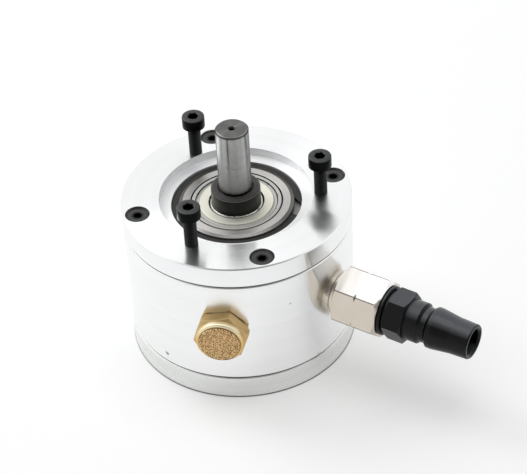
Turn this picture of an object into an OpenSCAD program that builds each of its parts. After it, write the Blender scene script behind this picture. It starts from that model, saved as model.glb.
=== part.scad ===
// Air vane motor: a round aluminium motor with a radial air inlet, an exhaust silencer and a plain shaft.
// Millimetres. The origin is on the shaft axis at the rear face; +Z points out along the shaft.

/* [Housing] */
// Outer diameter of both plates and the body
body_d = 70; // [63:0.5:80]
// Thickness of the front plate
front_t = 6.8; // [6:0.1:9]
// Length of the body between the gaskets
body_h = 35.8; // [32:0.1:42]
// Thickness of the rear plate
rear_t = 7.8; // [7.2:0.1:10]
// Thickness of the gasket in each seam
gasket_t = 0.3; // [0.2:0.1:0.6]
// How far the gasket edge stays inside the rim
gasket_inset = 0.2; // [0.1:0.1:0.6]
// Edge break on the outer rims of the plates
rim_c = 0.35; // [0.2:0.05:0.8]
// Edge break on the rims at the seams
seam_c = 0.3; // [0.1:0.05:0.5]

/* [Front register] */
// Diameter of the register that centres a bracket
register_d = 46.8; // [42:0.1:50]
// Depth of the register
register_depth = 2.7; // [2:0.1:3.2]
// How far the bearing stands out of the register's floor
bearing_up = 0.35; // [0.2:0.05:1.2]
// Room around the bearing's snap ring in its pocket
pocket_c = 0.25; // [0.15:0.05:0.5]

/* [Screws] */
// Thread diameter of every screw
screw_d = 4; // [3.5:0.1:4.5]
// Edge break at a screw's tip
tip_c = 0.4; // [0.2:0.1:0.6]
// Diameter of a plate screw's countersink
sink_d = 7.5; // [6.8:0.1:8.4]
// How far a plate screw sits below the face
sink_gap = 0.55; // [0.1:0.05:0.8]
// Land left between a countersink and the rim's edge break
sink_land = 0.4; // [0.2:0.1:1]
// Direction of the first plate screw
plate_screw_a = 15; // [10:1:20]
// Length of thread that a plate screw has in the body
thread_l = 6.6; // [5:0.1:8]
// Room under the tip of a plate screw
tip_gap = 0.9; // [0.5:0.1:1.5]
// Hexagon socket of a plate screw, across flats
sink_key = 2.5; // [2:0.1:3]
// Depth of a plate screw's socket
sink_key_l = 1.7; // [1.2:0.1:2.2]
// Wall left between the register and a mounting screw's hole
mount_wall = 0.2; // [0.1:0.1:1]
// Floor left under a mounting screw's hole
mount_floor = 0.8; // [0.5:0.1:1.5]
// Room under the tip of a mounting screw
mount_gap = 0.2; // [0.1:0.1:0.5]
// Head diameter of a mounting screw
cap_d = 7; // [6:0.1:8]
// Head height of a mounting screw
cap_h = 3.9; // [3.4:0.1:5]
// Edge break on a mounting screw's head
cap_c = 0.4; // [0.2:0.1:0.6]
// Free length under the head of a mounting screw
cap_gap = 9.8; // [5:0.1:14]
// Hexagon socket of a mounting screw, across flats
cap_key = 3; // [2.5:0.1:3.5]
// Depth of a mounting screw's socket
cap_key_l = 2; // [1.5:0.1:2.6]

/* [Shaft and rotor] */
// Diameter of the output shaft
shaft_d = 10; // [9:0.1:11]
// Length of shaft in front of the front face
shaft_out = 24.8; // [16:0.2:40]
// Edge break at the shaft's end
shaft_c = 0.5; // [0.2:0.1:1]
// Diameter of the turning centre in the shaft's end
centre_d = 1.6; // [1:0.1:2]
// Diameter of the turning centre's mouth
mouth_d = 2.4; // [2.1:0.1:3.5]
// Depth of the turning centre
centre_l = 4; // [2:0.5:6]
// Outer diameter of the spacer collar
collar_d = 15; // [13:0.1:16]
// Length of the spacer collar
collar_h = 5.7; // [4:0.1:10]
// Edge break on the spacer collar
collar_c = 0.5; // [0.2:0.1:0.8]
// Depth of the relief groove at the foot of the free shaft
relief_c = 0.3; // [0.2:0.05:0.5]
// Length of the relief groove above the collar
relief_l = 0.5; // [0.4:0.1:1.5]
// Wall left between the chamber and a plate screw's hole
chamber_wall = 1.45; // [1:0.05:3]
// Offset of the chamber from the shaft axis
ecc = 3; // [2:0.1:4]
// Thickness of a vane
vane_t = 2.9; // [2:0.1:4]
// Radius of the slot bottom in the rotor
slot_r = 10; // [8:0.1:12]

/* [Ports] */
// Height of both ports above the rear face
port_z = 27; // [22:0.5:29]
// Direction of the air inlet
inlet_a = -32; // [-40:1:-25]
// Direction of the exhaust
exhaust_a = -98; // [-110:1:-90]
// Thread diameter of both ports
port_d = 13.1; // [11:0.1:14]
// Length of thread in a port
port_l = 8.5; // [7:0.1:9.5]
// Diameter of the air passage into the chamber
air_d = 8; // [5:0.5:9]

/* [Inlet adapter] */
// Length of threaded neck that shows in front of the body
neck_l = 1.4; // [0.5:0.1:3]
// Length of the turned shoulder behind the hexagon
shoulder_l = 0.8; // [0.5:0.1:1.5]
// Hexagon of the adapter, across flats
adapter_af = 16.9; // [15.5:0.1:19]
// Length of the adapter's hexagon
adapter_h = 15; // [12:0.5:20]
// Edge break at the ends of the hexagon's corners
adapter_c = 1.6; // [1:0.1:2]
// Depth of the notch in each corner of the hexagon
notch_c = 0.66; // [0.4:0.02:0.9]

/* [Inlet plug] */
// Thread diameter of the plug
plug_thread_d = 11; // [10:0.1:12]
// Length of the plug's thread
plug_thread_l = 8; // [6:0.5:9]
// Diameter of the plug's collar
plug_collar_d = 15.4; // [14.6:0.1:16]
// Length of the plug's collar
plug_collar_l = 1.1; // [0.8:0.1:1.8]
// Hexagon of the plug, across flats
plug_af = 14; // [13:0.1:15]
// Length of the plug's hexagon
plug_hex_l = 6; // [4:0.5:8]
// Round stretch between the collar and the hexagon
plug_waist_l = 0.9; // [0.5:0.1:2]
// Diameter of the plug's neck
plug_neck_d = 12.6; // [12:0.1:13]
// Length of the plug's neck
plug_neck_l = 4; // [3:0.5:6]
// Depth of the locking groove
groove_c = 0.85; // [0.6:0.05:1]
// Length of the locking groove
groove_l = 3.5; // [3:0.1:5]
// Diameter of the sealing land
land_d = 12.7; // [12.2:0.1:13]
// Length of the sealing land
land_l = 1.3; // [1:0.1:2]
// Length of the tapered stretch of the nose
taper_l = 5.8; // [4:0.1:8]
// Diameter of the nose behind its tip
nose_d = 11.2; // [10.4:0.1:11.8]
// Length of the nose
nose_l = 6.1; // [4:0.1:8]
// Bore of the plug
plug_bore = 7.8; // [6:0.1:8.6]

/* [Silencer] */
// Hexagon of the silencer, across flats
silencer_af = 14.8; // [14:0.1:17]
// Length of the silencer's hexagon
silencer_h = 3.4; // [3:0.1:6]
// Length of the round lip in front of the hexagon
sil_lip_l = 1.8; // [1:0.1:3]
// Rounding of the lip's outer edge
sil_lip_e = 0.75; // [0.3:0.05:0.85]
// Diameter of the sintered disc
disc_d = 12.6; // [10:0.1:13]
// Wall of the lip around the disc
disc_wall = 0.9; // [0.6:0.05:1.2]
// How far the disc stands out
disc_up = 0.3; // [0.2:0.1:1.5]
// Floor behind the disc
disc_floor = 1.4; // [1:0.1:2]

/* [Fits] */
// Radial running clearance
run_c = 0.05; // [0.03:0.01:0.08]
// End play of the rotor, and of a vane in its slot
play_c = 0.05; // [0.03:0.01:0.08]
// Room at both ends of a vane's stroke
vane_c = 0.1; // [0.05:0.05:0.3]
// Clearance of a screw in its through hole
hole_c = 0.2; // [0.1:0.05:0.3]
// Gap between a fitting and the round body
seat_c = 0.1; // [0.05:0.05:0.3]

/* [Hidden] */
$fn = 64;
// How far a cut runs past the solid
over = 1;
body_r = body_d / 2;
screw_r = screw_d / 2;
shaft_r = shaft_d / 2;
port_r = port_d / 2;
air_r = air_d / 2;
disc_r = disc_d / 2;
// Levels along the axis
z_body = rear_t + gasket_t;
z_top = z_body + body_h;
z_front = z_top + gasket_t;
z_face = z_front + front_t;
z_reg = z_face - register_depth;
z_bear = z_reg + bearing_up;
z_shaft = z_face + shaft_out;
z_foot = z_bear + collar_h;
// Screw circles
plate_screw_r = body_r - rim_c - sink_land - sink_d / 2;
mount_screw_r = register_d / 2 + mount_wall + screw_r;
// Front bearing, 10 x 35 x 11 with a snap ring
fb_w = 11;
fb_r = 17.5;
fb_outer_t = 3.6;
fb_ball = 3.4;
fb_race = 0.525;
fb_out = fb_r - fb_outer_t;
fb_pitch = fb_out + fb_race - fb_ball;
fb_in = fb_pitch - fb_ball + fb_race;
fb_n = 7;
fb_mid = z_bear - fb_w / 2;
fb_c = 1.1;
fb_c_h = 0.4;
fb_inner_c = 0.3;
fb_bore_c = 0.3;
// Snap ring and its groove
snap_t = 1.12;
snap_pos = 2.06;
snap_wide = 2.1;
snap_deep = 0.9;
snap_play = 0.1;
snap_groove = fb_r - snap_deep;
snap_in = snap_groove + run_c;
snap_r = fb_r + snap_wide;
pocket_r = snap_r + pocket_c;
z_snap = z_bear - snap_pos;
// Shields, with a crimped rim and a raised inner flat
shield_t = 0.4;
shield_z = 1.05;
shield_c = 0.25;
shield_deep = 0.3;
shield_in = fb_in + shield_c;
shield_out = fb_out + shield_deep;
shield_rim = 1.25;
shield_down = 0.12;
shield_edge = 0.15;
shield_flat = 2.8;
shield_slope = 0.3;
shield_under = 0.1;
shield_up = 0.1;
rim_out = fb_out - shield_c;
rim_in = rim_out - shield_rim;
crimp_n = 12;
crimp_a = 10;
crimp_w = 0.45;
crimp_l = 0.35;
// Cages
cage_t = 2.3;
cage_low = 1.6;
cage_gap = 0.25;
rb_cage_t = 1.2;
rb_cage_low = 0.8;
rb_cage_gap = 0.35;
// Rear bearing, 10 x 22 x 6
rb_w = 6;
rb_r = 11;
rb_outer_t = 1.7;
rb_ball = 1.7;
rb_race = 0.4;
rb_out = rb_r - rb_outer_t;
rb_pitch = rb_out + rb_race - rb_ball;
rb_in = rb_pitch - rb_ball + rb_race;
rb_n = 11;
rb_sink = 0.2;
rb_c = 0.3;
rb_shield_t = 0.25;
rb_shield_c = 0.2;
rb_ledge = 2.4;
rb_under = 0.6;
rb_top = rear_t - rb_sink;
rb_low = rb_top - rb_w;
rb_mid = rb_top - rb_w / 2;
shaft_tail = 0.2;
// Chamber, filled by the rotor except for the offset
lip_t = 3;
z_lip = z_bear - fb_w - lip_t;
seal_a = (inlet_a + exhaust_a) / 2;
bore_r = plate_screw_r - screw_r - chamber_wall - ecc;
rotor_r = bore_r - ecc - run_c;
hub_t = 1.4;
hub_r = shaft_r + hub_t;
seal_t = 2.6;
seal_r = hub_r + seal_t;
seal_low = 0.4;
seal_up = 0.3;
gasket_c = 0.3;
z_rot = rear_t + play_c;
rot_h = z_lip - play_c - z_rot;
// Vanes, drawn in at rest
vane_n = 4;
vane_a = seal_a + 45;
slot_w = vane_t + 2 * run_c;
vane_in = slot_r + vane_c;
vane_out = rotor_r - vane_c;
// Distances from the shaft axis along a port
tap_end = body_r - port_l;
tail_gap = 0.5;
neck_end = body_r + neck_l;
shoulder_t = 0.95;
hex_in = neck_end + shoulder_l;
hex_out = hex_in + adapter_h;
plug_hex_in = hex_out + plug_collar_l + plug_waist_l;
plug_hex_out = plug_hex_in + plug_hex_l;
groove_in = plug_hex_out + plug_neck_l;
land_in = groove_in + groove_l;
taper_in = land_in + land_l;
nose_in = taper_in + taper_l;
plug_tip = nose_in + nose_l;
sil_in = body_r + seat_c;
sil_hex = sil_in + silencer_h;
sil_out = sil_hex + sil_lip_l;
// How the hexagons stand
adapter_turn = 44.2;
plug_turn = 26.5;
silencer_turn = 41.5;
// Ends of the snap ring's gap, as angles at its inner and outer edge
snap_gap_a = [[14, -3.6], [-18, -21]];

// Helpers

// Point at a radius and an angle
function polar(r, a) = [r * cos(a), r * sin(a)];

// Point past p on the line that comes from q
function past(p, q) = p + 0.2 * (p - q);

// Circumradius of a hexagon from its width across flats
function corner(af) = af / 2 / cos(30);

// Children at each plate screw
module at_plate_screws() {
    for (i = [0:3])
        rotate([0, 0, plate_screw_a + 90 * i])
            translate([plate_screw_r, 0, 0])
                children();
}

// Children at each mounting screw
module at_mount_screws() {
    for (i = [0:2])
        rotate([0, 0, 120 * i])
            translate([mount_screw_r, 0, 0])
                children();
}

// Children on a port's axis, with local Z pointing outwards
module at_port(a) {
    rotate([0, 0, a])
        translate([0, 0, port_z])
            rotate([0, 90, 0])
                children();
}

// Children at the chamber's axis
module at_chamber() {
    rotate([0, 0, seal_a + 180])
        translate([ecc, 0, 0])
            children();
}

// Disc with broken edges
module chamfered_disc(r, z0, z1, c0, c1) {
    rotate_extrude($fn = 120)
        polygon([[0, z0], [r - c0, z0], [r, z0 + c0], [r, z1 - c1], [r - c1, z1], [0, z1]]);
}

// Plain ring
module ring(r0, r1, z0, z1, f = 96) {
    rotate_extrude($fn = f)
        polygon([[r0, z0], [r1, z0], [r1, z1], [r0, z1]]);
}

// Hexagon bar with turned ends
module hex_bar(af, z0, z1, c0, c1, turn) {
    rc = corner(af);
    intersection() {
        translate([0, 0, z0])
            rotate([0, 0, turn])
                cylinder(r = rc, h = z1 - z0, $fn = 6);
        rotate_extrude()
            polygon([[0, z0], [rc - c0, z0], [rc + seat_c, z0 + (c0 + seat_c) * tan(30)],
                [rc + seat_c, z1 - (c1 + seat_c) * tan(30)], [rc - c1, z1], [0, z1]]);
    }
}

// Hexagon socket, open at Z 0
module key_socket(af, l) {
    translate([0, 0, -l])
        cylinder(r = corner(af), h = l + over, $fn = 6);
}

// Countersunk screw, head up at Z 0, with a hexagon socket
module sunk_screw(l) {
    hr = sink_d / 2 - sink_gap;
    difference() {
        rotate_extrude($fn = 48)
            polygon([[0, 0], [hr, 0], [screw_r, screw_r - hr], [screw_r, tip_c - l],
                [screw_r - tip_c, -l], [0, -l]]);
        key_socket(sink_key, sink_key_l);
    }
}

// Hole for a countersunk screw, open at Z 0
module sunk_hole(t) {
    translate([0, 0, -t - over])
        cylinder(r = screw_r + hole_c, h = t + 2 * over, $fn = 48);
    translate([0, 0, -sink_d / 2])
        cylinder(r1 = 0, r2 = sink_d / 2 + over, h = sink_d / 2 + over, $fn = 48);
}

// Port hole into the chamber
module port_hole(a) {
    at_port(a) {
        translate([0, 0, tap_end])
            cylinder(r = port_r, h = port_l + over);
        translate([0, 0, rotor_r - air_r])
            cylinder(r = air_r, h = tap_end - rotor_r + air_r + over);
    }
}

// Ring of balls
module ball_row(n, pitch, r, z) {
    for (i = [0:n - 1])
        rotate([0, 0, 360 / n * i])
            translate([pitch, 0, z])
                sphere(r = r, $fn = 32);
}

// Raceway for a ring of balls
module raceway(pitch, r, z) {
    rotate_extrude($fn = 96)
        translate([pitch, z])
            circle(r = r + run_c, $fn = 48);
}

// Housing

module front_plate() {
    color([0.86, 0.87, 0.88])
        difference() {
            chamfered_disc(body_r, z_front, z_face, seam_c, rim_c);
            translate([0, 0, z_reg])
                cylinder(d = register_d, h = register_depth + over, $fn = 120);
            translate([0, 0, z_snap])
                cylinder(r = pocket_r, h = z_face - z_snap, $fn = 120);
            translate([0, 0, z_front - over])
                cylinder(r = fb_r, h = front_t, $fn = 96);
            translate([0, 0, z_face])
                at_plate_screws()
                    sunk_hole(front_t);
            translate([0, 0, z_front + mount_floor])
                at_mount_screws()
                    cylinder(r = screw_r, h = front_t, $fn = 48);
        }
}

module front_gasket() {
    color([0.16, 0.17, 0.18])
        difference() {
            ring(fb_r + gasket_c, body_r - gasket_inset, z_top, z_front, 120);
            translate([0, 0, z_top - over])
                at_plate_screws()
                    cylinder(r = screw_r + hole_c, h = gasket_t + 2 * over, $fn = 48);
        }
}

module stator_body() {
    color([0.85, 0.86, 0.87])
        difference() {
            chamfered_disc(body_r, z_body, z_top, seam_c, seam_c);
            translate([0, 0, z_body - over])
                at_chamber()
                    cylinder(r = bore_r, h = z_lip - z_body + over, $fn = 120);
            translate([0, 0, z_lip - over])
                cylinder(r = seal_r, h = lip_t + 2 * over);
            translate([0, 0, z_lip + lip_t])
                cylinder(r = fb_r, h = fb_w + over, $fn = 96);
            port_hole(inlet_a);
            port_hole(exhaust_a);
            translate([0, 0, z_top - thread_l - tip_gap])
                at_plate_screws()
                    cylinder(r = screw_r, h = thread_l + tip_gap + over, $fn = 48);
            translate([0, 0, z_body - over])
                at_plate_screws()
                    cylinder(r = screw_r, h = thread_l + tip_gap + over, $fn = 48);
        }
}

module rear_gasket() {
    color([0.16, 0.17, 0.18])
        difference() {
            translate([0, 0, rear_t])
                cylinder(r = body_r - gasket_inset, h = gasket_t, $fn = 120);
            translate([0, 0, rear_t - over])
                at_chamber()
                    cylinder(r = bore_r + gasket_c, h = gasket_t + 2 * over, $fn = 120);
            translate([0, 0, rear_t - over])
                at_plate_screws()
                    cylinder(r = screw_r + hole_c, h = gasket_t + 2 * over, $fn = 48);
        }
}

module rear_plate() {
    color([0.80, 0.81, 0.82])
        difference() {
            chamfered_disc(body_r, 0, rear_t, rim_c, seam_c);
            translate([0, 0, rb_low])
                cylinder(r = rb_r, h = rear_t);
            translate([0, 0, rb_low - rb_under])
                cylinder(r = rb_r - rb_ledge, h = rb_w);
            at_plate_screws()
                rotate([180, 0, 0])
                    sunk_hole(rear_t);
        }
}

// Fasteners

module front_plate_screws() {
    color([0.10, 0.10, 0.11])
        translate([0, 0, z_face - sink_gap])
            at_plate_screws()
                sunk_screw(front_t + gasket_t - sink_gap + thread_l);
}

module rear_plate_screws() {
    color([0.10, 0.10, 0.11])
        translate([0, 0, sink_gap])
            at_plate_screws()
                rotate([180, 0, 0])
                    sunk_screw(rear_t + gasket_t - sink_gap + thread_l);
}

module mounting_screws() {
    tip = mount_floor + mount_gap - front_t - cap_gap;
    hr = cap_d / 2;
    color([0.10, 0.10, 0.11])
        at_mount_screws()
            translate([0, 0, z_face + cap_gap])
                difference() {
                    rotate_extrude($fn = 48)
                        polygon([[0, tip], [screw_r - tip_c, tip], [screw_r, tip + tip_c], [screw_r, 0],
                            [hr - cap_c / 2, 0], [hr, cap_c / 2], [hr, cap_h - cap_c],
                            [hr - cap_c, cap_h], [0, cap_h]]);
                    translate([0, 0, cap_h])
                        key_socket(cap_key, cap_key_l);
                }
}

// Air fittings

module inlet_adapter() {
    rc = corner(adapter_af);
    color([0.78, 0.76, 0.72])
        at_port(inlet_a)
            difference() {
                union() {
                    translate([0, 0, tap_end + tail_gap])
                        cylinder(r = port_r, h = neck_end - tap_end);
                    translate([0, 0, neck_end])
                        cylinder(r = port_r + shoulder_t, h = 2 * shoulder_l);
                    hex_bar(adapter_af, hex_in, hex_out, adapter_c, adapter_c, adapter_turn);
                }
                translate([0, 0, tap_end])
                    cylinder(r = air_r, h = hex_out - tap_end);
                translate([0, 0, hex_out - plug_thread_l - over])
                    cylinder(d = plug_thread_d, h = plug_thread_l + 2 * over);
                translate([0, 0, (hex_in + hex_out) / 2])
                    rotate_extrude()
                        polygon([[rc - notch_c, 0], [rc + notch_c, -1.73 * notch_c], [rc + notch_c, 1.73 * notch_c]]);
            }
}

module inlet_plug() {
    tr = plug_thread_d / 2;
    cr = plug_collar_d / 2;
    wr = plug_af / 2 - tip_c;
    nr = plug_neck_d / 2;
    gr = nr - groove_c;
    lr = land_d / 2;
    sr = nose_d / 2;
    color([0.13, 0.13, 0.14])
        at_port(inlet_a)
            difference() {
                union() {
                    rotate_extrude()
                        polygon([[0, hex_out - plug_thread_l], [tr - tip_c, hex_out - plug_thread_l],
                            [tr, hex_out - plug_thread_l + tip_c], [tr, hex_out],
                            [cr - 0.3, hex_out], [cr, hex_out + 0.3],
                            [cr, hex_out + plug_collar_l - 0.3], [cr - 0.3, hex_out + plug_collar_l],
                            [wr, hex_out + plug_collar_l + 0.2], [wr, plug_hex_out],
                            [nr, plug_hex_out], [nr, groove_in], [gr, groove_in + groove_c],
                            [gr, land_in - groove_c - 0.2], [lr, land_in], [lr, taper_in], [sr, nose_in],
                            [sr - 0.2, plug_tip - 0.4], [sr - 0.5, plug_tip], [0, plug_tip]]);
                    hex_bar(plug_af, plug_hex_in, plug_hex_out, 0.7, 1.1, plug_turn);
                }
                translate([0, 0, hex_out - plug_thread_l - over])
                    cylinder(d = plug_bore, h = plug_tip - hex_out + plug_thread_l + 2 * over);
                translate([0, 0, plug_tip - 0.6])
                    cylinder(d1 = plug_bore, d2 = plug_bore + 1.6, h = 0.8);
            }
}

module silencer_body() {
    color([0.72, 0.56, 0.28])
        at_port(exhaust_a)
            difference() {
                union() {
                    translate([0, 0, tap_end + 2 * tail_gap])
                        cylinder(r = port_r, h = sil_in - tap_end);
                    hex_bar(silencer_af, sil_in, sil_hex, 0.7, corner(silencer_af) - silencer_af / 2,
                        silencer_turn);
                    rotate_extrude() {
                        translate([0, sil_in])
                            square([disc_r + disc_wall, sil_out - sil_lip_e - sil_in]);
                        translate([0, sil_in])
                            square([disc_r + disc_wall - sil_lip_e, sil_out - sil_in]);
                        translate([disc_r + disc_wall - sil_lip_e, sil_out - sil_lip_e])
                            circle(r = sil_lip_e, $fn = 48);
                    }
                }
                translate([0, 0, tap_end])
                    cylinder(r = air_r, h = sil_out - tap_end);
                translate([0, 0, sil_in + disc_floor])
                    cylinder(r = disc_r, h = silencer_h + sil_lip_l);
            }
}

module silencer_disc() {
    z1 = sil_out + disc_up;
    c = disc_up * 0.4;
    color([0.62, 0.48, 0.28])
        at_port(exhaust_a)
            rotate_extrude()
                polygon([[0, sil_in + disc_floor], [disc_r, sil_in + disc_floor], [disc_r, z1 - c],
                    [disc_r - c, z1], [0, z1]]);
}

// Front bearing

module front_bearing_outer_ring() {
    z0 = z_bear - fb_w;
    z_up = z_bear - shield_z;
    z_dn = z0 + shield_z;
    z_slot = z_snap + snap_t + snap_play;
    color([0.70, 0.70, 0.70])
        difference() {
            rotate_extrude($fn = 96)
                polygon([[fb_out, z0 + fb_bore_c], [fb_out + fb_bore_c, z0],
                    [fb_r - fb_c, z0], [fb_r, z0 + fb_c_h],
                    [fb_r, z_snap], [snap_groove, z_snap], [snap_groove, z_slot], [fb_r, z_slot],
                    [fb_r, z_bear - fb_c_h], [fb_r - fb_c, z_bear],
                    [fb_out + fb_bore_c, z_bear], [fb_out, z_bear - fb_bore_c],
                    [fb_out, z_up + shield_t], [shield_out, z_up + shield_t],
                    [shield_out, z_up], [fb_out, z_up],
                    [fb_out, z_dn], [shield_out, z_dn],
                    [shield_out, z_dn - shield_t], [fb_out, z_dn - shield_t]]);
            raceway(fb_pitch, fb_ball, fb_mid);
        }
}

module front_bearing_inner_ring() {
    z0 = z_bear - fb_w;
    color([0.74, 0.74, 0.74])
        difference() {
            rotate_extrude($fn = 96)
                polygon([[shaft_r, z0], [fb_in - fb_inner_c, z0], [fb_in, z0 + fb_inner_c],
                    [fb_in, z_bear - fb_inner_c], [fb_in - fb_inner_c, z_bear], [shaft_r, z_bear]]);
            raceway(fb_pitch, fb_ball, fb_mid);
        }
}

module front_bearing_balls() {
    color([0.80, 0.80, 0.81])
        ball_row(fb_n, fb_pitch, fb_ball, fb_mid);
}

module front_bearing_cage() {
    color([0.66, 0.60, 0.48])
        difference() {
            ring(fb_pitch - cage_t / 2, fb_pitch + cage_t / 2, fb_mid - cage_low,
                fb_mid + fb_w / 2 - shield_z - cage_gap, 72);
            ball_row(fb_n, fb_pitch, fb_ball, fb_mid);
        }
}

// Shield of the front bearing, with Z 0 at the ring's face
module front_shield() {
    low = shield_t - shield_z;
    flat = shield_in + shield_flat;
    foot = flat + shield_slope;
    difference() {
        rotate_extrude($fn = 96)
            polygon([[shield_in, -shield_up - shield_t], [flat - shield_under, -shield_up - shield_t],
                [foot - shield_under, -shield_z], [shield_out, -shield_z], [shield_out, low], [rim_out, low],
                [rim_out, -shield_down], [rim_in + shield_edge, -shield_down],
                [rim_in, -shield_down - shield_edge], [rim_in - shield_down, low],
                [foot, low], [flat, -shield_up], [shield_in, -shield_up]]);
        for (i = [0:crimp_n - 1])
            rotate([0, 0, crimp_a + 360 / crimp_n * i])
                translate([foot, -crimp_w / 2, low])
                    cube([rim_in + crimp_l - foot, crimp_w, shield_z]);
    }
}

module front_bearing_shields() {
    color([0.80, 0.79, 0.72]) {
        translate([0, 0, z_bear])
            front_shield();
        translate([0, 0, z_bear - fb_w])
            mirror([0, 0, 1])
                front_shield();
    }
}

module front_bearing_snap_ring() {
    a = [for (e = snap_gap_a) polar(snap_in, e[0])];
    b = [for (e = snap_gap_a) polar(snap_r, e[1])];
    color([0.12, 0.12, 0.13])
        difference() {
            ring(snap_in, snap_r, z_snap, z_snap + snap_t);
            translate([0, 0, z_snap - over])
                linear_extrude(height = snap_t + 2 * over)
                    polygon([past(a[0], b[0]), past(b[0], a[0]), past(b[1], a[1]), past(a[1], b[1])]);
        }
}

// Rear bearing

module rear_bearing_outer_ring() {
    z_up = rb_top - rb_shield_c;
    z_dn = rb_low + rb_shield_c;
    slot = rb_out + rb_shield_c;
    color([0.70, 0.70, 0.70])
        difference() {
            rotate_extrude($fn = 72)
                polygon([[rb_out, rb_low], [rb_r - rb_c, rb_low], [rb_r, rb_low + rb_c],
                    [rb_r, rb_top - rb_c], [rb_r - rb_c, rb_top], [rb_out, rb_top],
                    [rb_out, z_up], [slot, z_up], [slot, z_up - rb_shield_t], [rb_out, z_up - rb_shield_t],
                    [rb_out, z_dn + rb_shield_t], [slot, z_dn + rb_shield_t], [slot, z_dn], [rb_out, z_dn]]);
            raceway(rb_pitch, rb_ball, rb_mid);
        }
}

module rear_bearing_inner_ring() {
    color([0.74, 0.74, 0.74])
        difference() {
            ring(shaft_r, rb_in, rb_low, rb_top, 72);
            raceway(rb_pitch, rb_ball, rb_mid);
        }
}

module rear_bearing_balls() {
    color([0.80, 0.80, 0.81])
        ball_row(rb_n, rb_pitch, rb_ball, rb_mid);
}

module rear_bearing_cage() {
    color([0.66, 0.60, 0.48])
        difference() {
            ring(rb_pitch - rb_cage_t / 2, rb_pitch + rb_cage_t / 2, rb_mid - rb_cage_low,
                rb_top - rb_shield_c - rb_shield_t - rb_cage_gap, 64);
            ball_row(rb_n, rb_pitch, rb_ball, rb_mid);
        }
}

module rear_bearing_shields() {
    r0 = rb_in + rb_shield_c;
    r1 = rb_out + rb_shield_c;
    color([0.80, 0.79, 0.72]) {
        ring(r0, r1, rb_top - rb_shield_c - rb_shield_t, rb_top - rb_shield_c, 72);
        ring(r0, r1, rb_low + rb_shield_c, rb_low + rb_shield_c + rb_shield_t, 72);
    }
}

module shaft_seal() {
    color([0.08, 0.08, 0.08])
        ring(hub_r + run_c, seal_r, z_lip + seal_low, z_lip + lip_t - seal_up, 64);
}

// Rotor

module rotor() {
    z0 = rb_low + shaft_tail;
    z1 = z_bear - fb_w;
    color([0.76, 0.77, 0.78])
        difference() {
            rotate_extrude($fn = 96)
                polygon([[0, z0], [shaft_r - tip_c, z0], [shaft_r, z0 + tip_c], [shaft_r, rb_top],
                    [hub_r, rb_top], [hub_r, z_rot], [rotor_r, z_rot], [rotor_r, z_rot + rot_h],
                    [hub_r, z_rot + rot_h], [hub_r, z1], [shaft_r, z1], [shaft_r, z_foot - collar_c],
                    [shaft_r - relief_c, z_foot - collar_c], [shaft_r - relief_c, z_foot + relief_l],
                    [shaft_r, z_foot + relief_l], [shaft_r, z_shaft - shaft_c],
                    [shaft_r - shaft_c, z_shaft], [0, z_shaft]]);
            for (i = [0:vane_n - 1])
                rotate([0, 0, vane_a + 360 / vane_n * i])
                    translate([slot_r, -slot_w / 2, z_rot - over])
                        cube([rotor_r, slot_w, rot_h + 2 * over]);
            translate([0, 0, z_shaft - centre_l])
                cylinder(d = centre_d, h = centre_l + over, $fn = 32);
            translate([0, 0, z_shaft - mouth_d / 2])
                cylinder(d1 = 0, d2 = mouth_d + 2 * over, h = mouth_d / 2 + over, $fn = 32);
        }
}

module spacer_collar() {
    cr = collar_d / 2;
    color([0.12, 0.12, 0.12])
        rotate_extrude($fn = 72)
            polygon([[shaft_r, z_bear], [cr - collar_c / 2, z_bear], [cr, z_bear + collar_c / 2],
                [cr, z_foot - collar_c], [cr - collar_c, z_foot],
                [shaft_r + collar_c, z_foot], [shaft_r, z_foot - collar_c]]);
}

module vane(i) {
    color([0.42, 0.30, 0.18])
        intersection() {
            rotate([0, 0, vane_a + 360 / vane_n * i])
                translate([vane_in, -vane_t / 2, z_rot + play_c])
                    cube([rotor_r, vane_t, rot_h - 2 * play_c]);
            translate([0, 0, z_rot])
                cylinder(r = vane_out, h = rot_h, $fn = 96);
        }
}

module vane_1() {
    vane(0);
}

module vane_2() {
    vane(1);
}

module vane_3() {
    vane(2);
}

module vane_4() {
    vane(3);
}

front_plate();
front_gasket();
stator_body();
rear_gasket();
rear_plate();
front_plate_screws();
rear_plate_screws();
mounting_screws();
inlet_adapter();
inlet_plug();
silencer_body();
silencer_disc();
front_bearing_outer_ring();
front_bearing_inner_ring();
front_bearing_balls();
front_bearing_cage();
front_bearing_shields();
front_bearing_snap_ring();
rear_bearing_outer_ring();
rear_bearing_inner_ring();
rear_bearing_balls();
rear_bearing_cage();
rear_bearing_shields();
shaft_seal();
rotor();
spacer_collar();
vane_1();
vane_2();
vane_3();
vane_4();
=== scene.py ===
# %% [markdown]
# # An air vane motor, finished over its solids
# The motor stands on its rear face with the shaft up. Its solids are exact already, so most of the work
# here is finish: bright turned aluminium, black screws, nickel, brass, sintered bronze and ground steel.
# Only what the solids leave plain is made new: the cap screws with their threads, the thread on the
# adapter's neck and the grains of the silencer's disc.

# %% Load the solids
import math
import bmesh
import bpy
from mathutils import Matrix, Vector


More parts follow.
